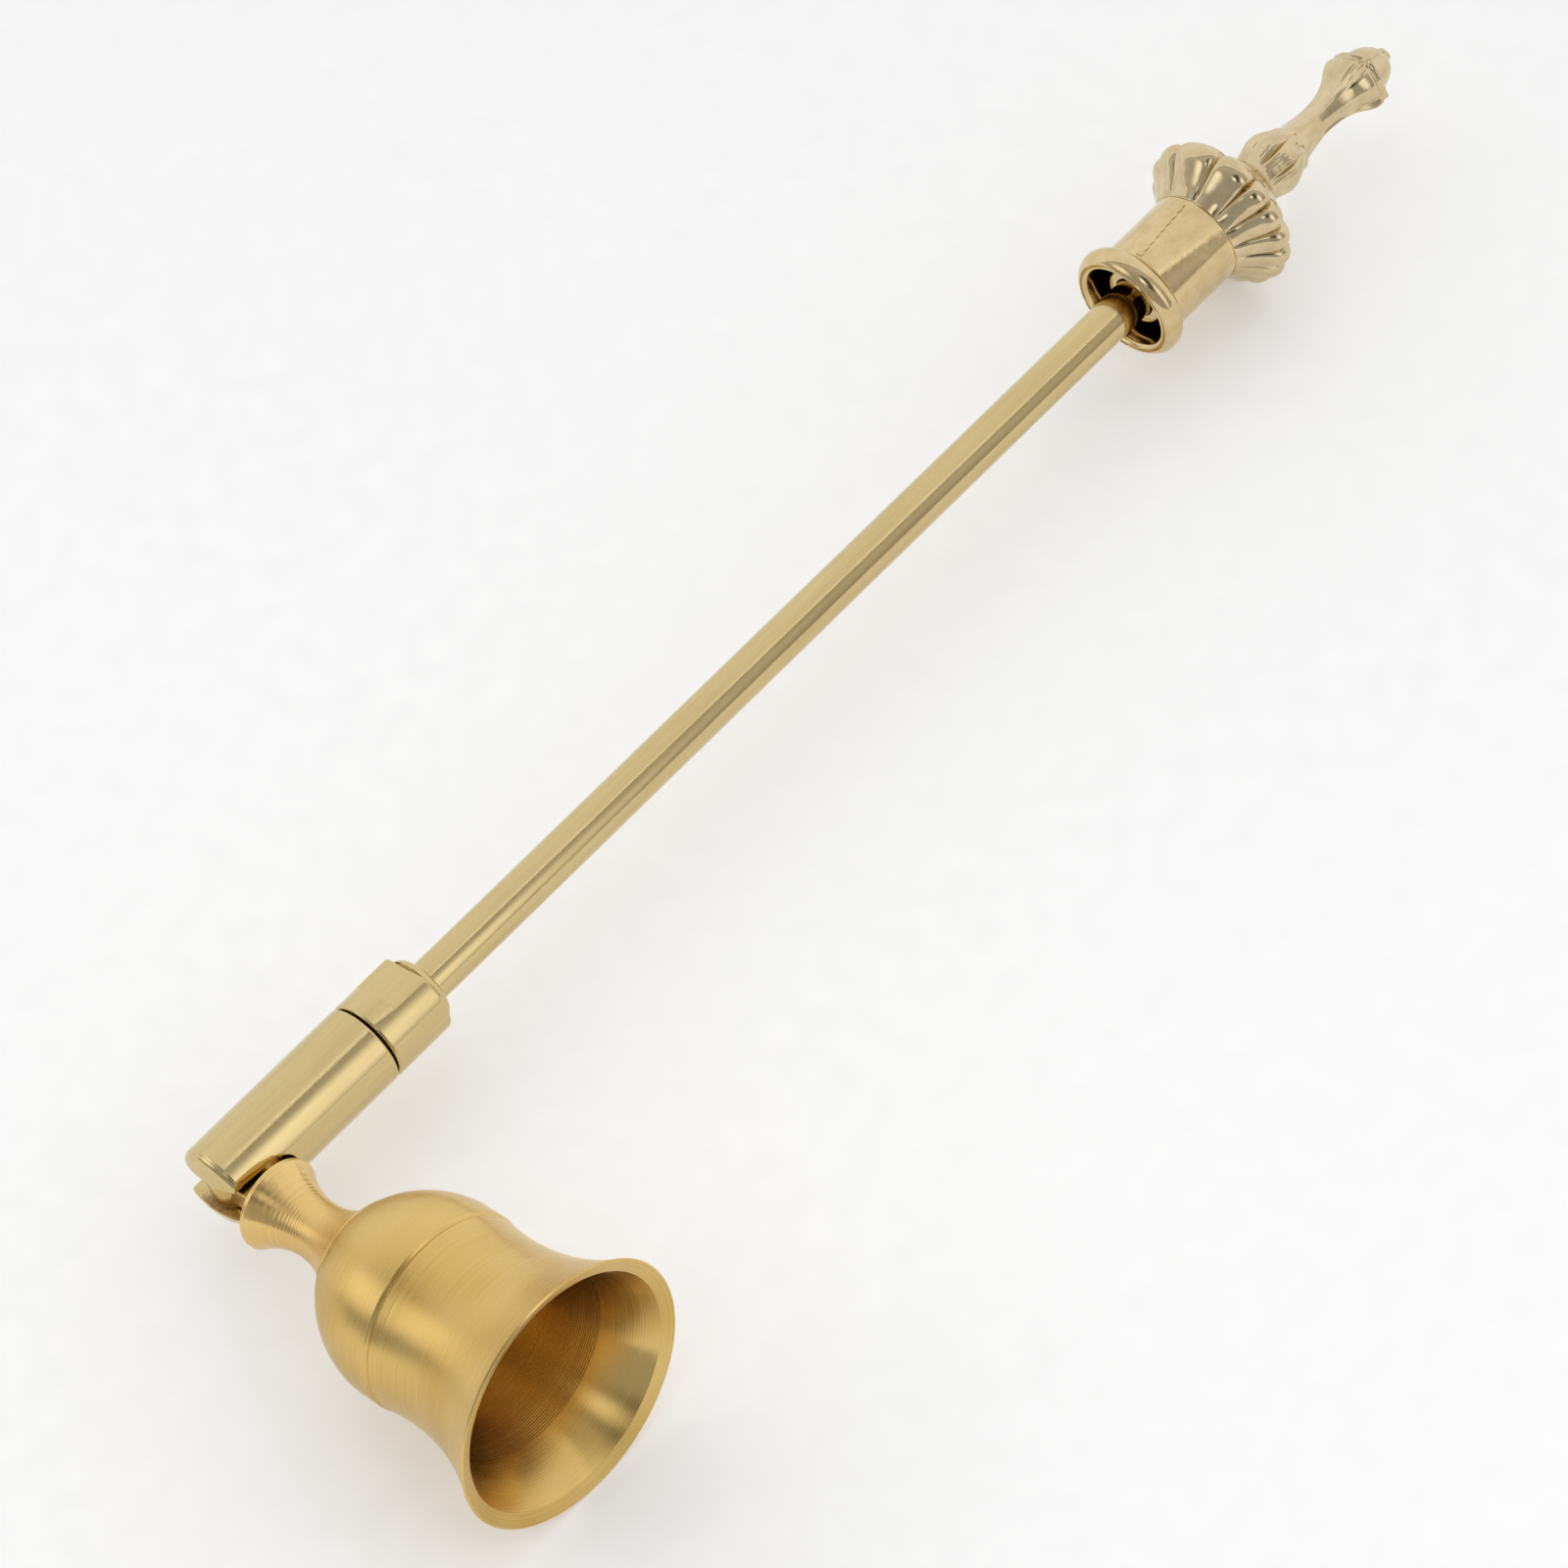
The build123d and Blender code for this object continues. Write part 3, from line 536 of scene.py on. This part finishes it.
def makeHandleSocket(socket):
    start, bead = socket["start"], socket["bead"]
    beadEnd = start + socket["beadWidth"]
    outline = [(socket["floor"], socket["hole"], 0), (socket["floor"], socket["inside"], 0.3)]
    outline += [(start + 1.7, socket["inside"], 0.5), (start + 0.35, socket["mouth"] - 0.15, 0.3)]
    outline += [(start + 0.02, socket["mouth"] + 0.3, 0.2), (start + 0.65, socket["mouth"] + 0.62, 0.12)]
    outline += arcThrough((start + 0.12, socket["outside"] + 0.45), (start + socket["beadWidth"] / 2, bead),
                          (beadEnd, socket["outside"]), 22)
    outline += [(socket["end"], socket["outside"], 0.05), (socket["end"], socket["hole"], 0)]
    shape = bmesh.new()
    turnOnLathe(shape, outline, socket["steps"])
    hubStart, floor = socket["hubStart"], socket["floor"] + 0.1
    turnOnLathe(shape, [
        (hubStart, socket["recess"], 0.15), (hubStart, socket["hub"], 0.3), (floor, socket["hub"], 0),
        (floor, socket["rodHole"], 0), (socket["recessEnd"], socket["rodHole"], 0.05),
        (socket["recessEnd"], socket["recess"], 0.1)], socket["steps"])
    inner, outer = socket["hub"] - 0.4, socket["inside"] + 0.2
    for side in (0, 180):
        web = bmesh.ops.create_cube(shape, size=1)["verts"]
        bmesh.ops.scale(shape, verts=web, vec=(
            (floor - hubStart) * mm, socket["webWidth"] * mm, (outer - inner) * mm))
        bmesh.ops.translate(shape, verts=web, vec=((floor + hubStart) / 2 * mm, 0, (outer + inner) / 2 * mm))
        rims = list({edge for v in web for edge in v.link_edges})
        bent = bmesh.ops.bevel(shape, geom=rims, offset=0.3 * mm, segments=3, profile=0.5, affect="EDGES")
        bmesh.ops.rotate(shape, verts=bent["verts"], cent=(0, 0, 0),
                         matrix=Matrix.Rotation(math.radians(socket["webTurn"] + side), 3, "X"))
    seam = []
    for k in range(25):  # parting seam, left proud and wandering along the tube
        along = socket["seamStart"] + (socket["seamEnd"] - socket["seamStart"]) * k / 24
        middle = socket["seamTurn"][0] + (socket["seamTurn"][1] - socket["seamTurn"][0]) * k / 24 + 0.8 * math.sin(2.1 * k)
        low, high = socket["outside"] - 0.1, socket["outside"] + socket["seamHeight"]
        reach = socket["seamWidth"] / 2
        corners = [(low, -reach), (high, -reach + 0.4), (high, reach - 0.4), (low, reach)]
        turns = [(radius, math.radians(middle + swing)) for radius, swing in corners]
        seam.append([(along, radius * math.cos(t), radius * math.sin(t)) for radius, t in turns])
    stackRings(shape, seam)
    piece = finishPiece("handleSocket", shape, gripPlace, "grip", [goldPlatedSocket])
    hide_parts("handle_socket")


makeHandleSocket(handleSocket)


def smoothAt(table, place):
    spans = list(zip(table, table[1:]))
    index = next((i for i, (a, b) in enumerate(spans) if place <= b[0]), len(spans) - 1)
    (x0, y0), (x1, y1) = spans[index]
    slopes = [(b[1] - a[1]) / (b[0] - a[0]) for a, b in spans]
    slope0 = slopes[index] if index == 0 else (slopes[index - 1] + slopes[index]) / 2
    slope1 = slopes[index] if index == len(spans) - 1 else (slopes[index] + slopes[index + 1]) / 2
    step = x1 - x0
    t = min(max((place - x0) / step, 0), 1)
    return ((2 * t ** 3 - 3 * t ** 2 + 1) * y0 + (t ** 3 - 2 * t ** 2 + t) * step * slope0
            + (3 * t ** 2 - 2 * t ** 3) * y1 + (t ** 3 - t ** 2) * step * slope1)


# fluted collar: gadroons that swell to round ends, two of them wide and flat where the mould parted
flutedCollar = {
    "start": 194.9,
    "valleys": [26, 51, 90, 121, 141.5, 162, 181, 200, 220.7, 241.3, 262, 282.7, 303.3, 324, 344.7, 365.3],
    "usualWidth": 20.5,
    "crest": [(0, 7.35), (1.5, 8.45), (3.0, 10.0), (4.2, 11.35), (5.2, 11.85), (6.2, 11.85), (7.1, 11.3), (7.8, 10.3),
              (8.2, 9.0), (8.8, 8.0), (10.4, 6.6), (12.0, 4.8)],
    "valley": [(0, 7.15), (1.5, 7.85), (3.0, 9.0), (4.2, 9.9), (5.2, 10.4), (6.2, 10.3), (7.1, 9.6), (7.8, 8.8),
               (8.2, 8.3), (8.8, 7.7), (10.4, 6.4), (12.0, 4.7)],
    "ribSteps": 20, "rows": 96,
}


def makeFlutedCollar(collar):
    starts, ribSteps = collar["valleys"], collar["ribSteps"]
    ends = starts[1:] + [starts[0] + 360]
    length = collar["crest"][-1][0]
    rings = []
    for row in range(collar["rows"] + 1):
        along = length * row / collar["rows"]
        crest, valley = smoothAt(collar["crest"], along), smoothAt(collar["valley"], along)
        ring = []
        for start, end in zip(starts, ends):
            flatness = 2 + max(0, (end - start) / collar["usualWidth"] - 1.1) * 2.5
            for k in range(ribSteps):
                across = 2 * k / ribSteps - 1
                swell = max(0, 1 - abs(across) ** flatness) ** 0.5
                radius = valley + (crest - valley) * swell
                turn = math.radians(start + (end - start) * k / ribSteps)
                ring.append((collar["start"] + along, radius * math.cos(turn), radius * math.sin(turn)))
        rings.append(ring)
    shape = bmesh.new()
    stackRings(shape, rings)
    piece = finishPiece("flutedCollar", shape, gripPlace, "grip", [goldPlatedCasting], 60)
    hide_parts("fluted_collar")


makeFlutedCollar(flutedCollar)

# finial: eight veined leaves, a slim four-sided stem, and a bud of four ribbed petals under a domed tip
finial = {
    "start": 206.9, "ridgeTurn": 108.0,
    "line": [(0, 4.0), (1.5, 3.95), (3.0, 4.25), (4.7, 4.6), (6.0, 4.5), (7.5, 3.95), (9.0, 3.3),
             (11.0, 2.85), (14.5, 2.3),
             (17.0, 2.4), (19.0, 2.8), (21.0, 3.55), (22.2, 4.2), (23.7, 4.7), (25.0, 4.75), (26.4, 4.6), (31.2, 4.0)],
    "tip": [(25.0, 4.1), (26.2, 3.85), (27.2, 3.6), (28.2, 3.2), (29.2, 2.55), (29.9, 1.75), (30.2, 1.3), (30.6, 1.25),
            (30.95, 1.0), (31.2, 0.3)],
    "flatness": [(0, 0), (7, 0), (11, 0.55), (16, 0.7), (20, 0.6), (23.5, 0.42), (26.5, 0.5), (31.2, 0.3)],
    "rim": 26.0, "rimSag": 0.5, "rimBead": 0.30, "rimCorner": 0.22, "rimGroove": 0.16,
    "leafVein": 0.05, "leafGroove": 0.8, "leafBead": 0.42,
    "stemRib": 0.12, "stemGroove": 0.04, "budRib": 0.30, "budGroove": 0.24, "petalSwell": 0.16, "tipCorner": 0.5,
    "steps": 200, "rows": 312,
}


def bump(value, middle, width):
    return math.exp(-((value - middle) / width) ** 2)


def makeFinial(shapeOf):
    length = shapeOf["line"][-1][0]
    rings = []
    for row in range(shapeOf["rows"] + 1):
        along = length * row / shapeOf["rows"]
        line, tip = smoothAt(shapeOf["line"], along), smoothAt(shapeOf["tip"], max(along, 25.0))
        flatness = smoothAt(shapeOf["flatness"], along)
        lowLeaf, bead = bump(along, 4.6, 2.8), bump(along, 8.5, 0.8)
        stem, bud = bump(along, 15.5, 4.5), bump(along, 23.2, 2.3)
        ring = []
        for k in range(shapeOf["steps"]):
            turn = 2 * math.pi * k / shapeOf["steps"]
            fromRidge = math.degrees(turn) - shapeOf["ridgeTurn"]
            panel, leaf = fromRidge % 90 / 45 - 1, fromRidge % 45 / 22.5 - 1
            side, leafSide = abs(panel), abs(leaf)  # 0 in the middle, 1 on a ridge or between leaves
            radius = line * (1 - flatness * (1 - math.cos(math.pi / 4) / math.cos(math.pi / 4 * panel)))
            vein = shapeOf["leafVein"] * math.cos(6 * math.pi * leaf) * (1 - leafSide ** 4)
            radius += lowLeaf * (vein - shapeOf["leafGroove"] * leafSide ** 5)
            radius += shapeOf["leafBead"] * bead * bump(leafSide, 1, 0.35)
            radius += (shapeOf["stemRib"] * stem + shapeOf["budRib"] * bud) * bump(side, 1, 0.09)
            radius -= (shapeOf["stemGroove"] * stem + shapeOf["budGroove"] * bud) * bump(side, 0.76, 0.09)
            radius += shapeOf["petalSwell"] * bud * bump(side, 0, 0.45)
            rim = shapeOf["rim"] - shapeOf["rimSag"] * (1 - side ** 2)
            radius += (shapeOf["rimBead"] - shapeOf["rimCorner"] * side ** 4) * bump(along, rim - 0.3, 0.35)
            radius -= shapeOf["rimGroove"] * bump(along, rim - 1.0, 0.35)
            over = min(max((along - rim) / 0.35, 0), 1)
            dome = tip - shapeOf["tipCorner"] * side ** 4 * min(1, tip / 3)
            radius += (dome - radius) * over * over * (3 - 2 * over)
            ring.append((shapeOf["start"] + along, radius * math.cos(turn), radius * math.sin(turn)))
        rings.append(ring)
    shape = bmesh.new()
    stackRings(shape, rings)
    piece = finishPiece("finialCasting", shape, gripPlace, "grip", [goldPlatedCasting], 60)
    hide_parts("finial")


makeFinial(finial)

# camera at the photograph's angle
cameraSet = {
    "aim": (-21.3, 8.9, 12.0),
    "distance": 778.5,
    "lens": 135.94,
}
cameraData = bpy.data.cameras.new("camera")
cameraData.lens = cameraSet["lens"]
cameraData.sensor_width = 36
camera = bpy.data.objects.new("camera", cameraData)
bpy.context.scene.collection.objects.link(camera)
right = Vector((0.6549, -0.7472, -0.1131))
up = Vector((0.6456, 0.4753, 0.5976))
back = Vector((-0.3928, -0.4644, 0.7937))
place = Vector(cameraSet["aim"]) * mm + back * cameraSet["distance"] * mm
camera.matrix_world = Matrix((
    (right.x, up.x, back.x, place.x),
    (right.y, up.y, back.y, place.y),
    (right.z, up.z, back.z, place.z),
    (0, 0, 0, 1)))
bpy.context.scene.camera = camera
print("camera set")

# pale floor: matt white paper that keeps the shadow and reads white behind the object
floorLook = {"metallic": 0, "tones": [(0.3, "#F2F2F2"), (0.7, "#F7F7F7")], "lift": 0.24, "half": 4.0}
half = floorLook["half"]
floorMesh = bpy.data.meshes.new("floor")
floorMesh.from_pydata([(-half, -half, 0), (half, -half, 0), (half, half, 0), (-half, half, 0)], [], [(0, 1, 2, 3)])
floor = bpy.data.objects.new("floor", floorMesh)
bpy.context.scene.collection.objects.link(floor)
whitePaper, tree, bsdf = startMaterial("mattWhitePaper", floorLook)
where = addNode(tree, "ShaderNodeTexCoord")
fibres = addNode(tree, "ShaderNodeTexNoise", {"Scale": 1 / (4 * mm)}, {"Vector": where.outputs["Object"]})
tree.links.new(tuneTone(tree, fibres.outputs["Fac"], floorLook["tones"]), bsdf.inputs["Base Color"])
bsdf.inputs["Roughness"].default_value = 0.95
bsdf.inputs["Emission Color"].default_value = (1, 1, 1, 1)
ray = addNode(tree, "ShaderNodeLightPath")
seen = addNode(tree, "ShaderNodeMath", {}, {0: ray.outputs["Is Camera Ray"], 1: ray.outputs["Is Glossy Ray"]},
               operation="MAXIMUM")
seenOrThrough = addNode(tree, "ShaderNodeMath", {}, {0: seen.outputs["Value"], 1: ray.outputs["Is Transmission Ray"]},
                        operation="MAXIMUM")
glow = addNode(tree, "ShaderNodeMath", {1: floorLook["lift"]}, {0: seenOrThrough.outputs["Value"]},
               operation="MULTIPLY")
tree.links.new(glow.outputs["Value"], bsdf.inputs["Emission Strength"])
floorMesh.materials.append(whitePaper)

# studio: a wide softbox from the far side to overhead, a dark gap, dim walls, and soft lamps in front, left and above
studio = {
    "strength": 1.5,
    "towards": (0.809, 0.587, 0.0),
    "bands": [(0.0, 0.65), (0.20, 0.67), (0.36, 0.63), (0.436, 0.62), (0.450, 0.95), (0.458, 0.95),
              (0.466, 0.19), (0.474, 0.21),
              (0.486, 0.36), (0.54, 0.42), (0.66, 0.34), (0.80, 0.29), (1.0, 0.30)],
    "darkSide": (-0.393, -0.464, 0.794), "darkReach": (24, 10), "darkLevel": 0.18,
}
softLamps = [
    {"name": "frontSoftbox", "place": (0.04, -0.38, 0.24), "aim": (-0.08, 0.02, 0.01), "size": (0.28, 0.70),
     "glow": 0.85},
    {"name": "leftSoftbox", "place": (-0.42, 0.28, 0.25), "aim": (-0.11, -0.02, 0.02), "size": (0.44, 0.42),
     "glow": 0.95},
    {"name": "keyLamp", "place": (-0.374, -0.19, 0.54), "aim": (-0.11, -0.03, 0.02), "size": (0.32, 0.32), "glow": 1.3},
]


def hangSoftbox(soft):
    lampData = bpy.data.lights.new(soft["name"], "AREA")
    lampData.shape = "RECTANGLE"
    lampData.size, lampData.size_y = soft["size"]
    lampData.energy = math.pi * lampData.size * lampData.size_y * soft["glow"]
    lampData.use_nodes = True
    tree = lampData.node_tree
    spot = addNode(tree, "ShaderNodeNewGeometry")
    middle = addNode(tree, "ShaderNodeMapping", {"Location": (-1, -1, 0), "Scale": (2, 2, 0)},
                     {"Vector": spot.outputs["Parametric"]})
    fade = addNode(tree, "ShaderNodeTexGradient", {}, {"Vector": middle.outputs["Vector"]}, gradient_type="SPHERICAL")
    fuller = addNode(tree, "ShaderNodeMapRange", {"From Max": 0.75}, {"Value": fade.outputs["Fac"]},
                     interpolation_type="SMOOTHSTEP")  # bright in the middle, soft to its edges
    tree.links.new(fuller.outputs["Result"], tree.nodes["Emission"].inputs["Strength"])
    lamp = bpy.data.objects.new(soft["name"], lampData)
    bpy.context.scene.collection.objects.link(lamp)
    lamp.location = soft["place"]
    facing = Vector(soft["aim"]) - Vector(soft["place"])
    lamp.rotation_euler = facing.to_track_quat("-Z", "Y").to_euler()
    lamp.visible_camera = False


for soft in softLamps:
    hangSoftbox(soft)
world = bpy.data.worlds.new("studio")
bpy.context.scene.world = world
world.use_nodes = True
tree = world.node_tree
where = addNode(tree, "ShaderNodeTexCoord")
parts = addNode(tree, "ShaderNodeSeparateXYZ", {}, {"Vector": where.outputs["Generated"]})
level = addNode(tree, "ShaderNodeVectorMath", {1: studio["towards"]}, {0: where.outputs["Generated"]},
                operation="DOT_PRODUCT")
lean = addNode(tree, "ShaderNodeMath", {}, {0: parts.outputs["Z"], 1: level.outputs["Value"]}, operation="ARCTAN2")
share = addNode(tree, "ShaderNodeMath", {1: 1 / math.pi}, {0: lean.outputs["Value"]}, operation="MULTIPLY")
bands = addNode(tree, "ShaderNodeValToRGB", {}, {"Fac": share.outputs["Value"]})
elements = bands.color_ramp.elements
elements[0].position, elements[1].position = 0.0, 1.0
for place, level in studio["bands"][1:-1]:
    elements.new(place)
for element, (place, level) in zip(elements, studio["bands"]):
    element.color = (level, level, level, 1)
near = addNode(tree, "ShaderNodeVectorMath", {1: studio["darkSide"]}, {0: where.outputs["Generated"]},
               operation="DOT_PRODUCT")
outer, inner = [math.cos(math.radians(reach)) for reach in studio["darkReach"]]
dim = addNode(tree, "ShaderNodeMapRange", {"From Min": outer, "From Max": inner, "To Min": 1,
                                           "To Max": studio["darkLevel"]},
              {"Value": near.outputs["Value"]}, interpolation_type="SMOOTHSTEP")  # unlit part of the room
dimmed = addNode(tree, "ShaderNodeVectorMath", {}, {0: bands.outputs["Color"], "Scale": dim.outputs["Result"]},
                 operation="SCALE")
background = tree.nodes["Background"]
background.inputs["Strength"].default_value = studio["strength"]
tree.links.new(dimmed.outputs["Vector"], background.inputs["Color"])
bpy.context.scene.view_settings.view_transform = "Standard"
print("studio set")
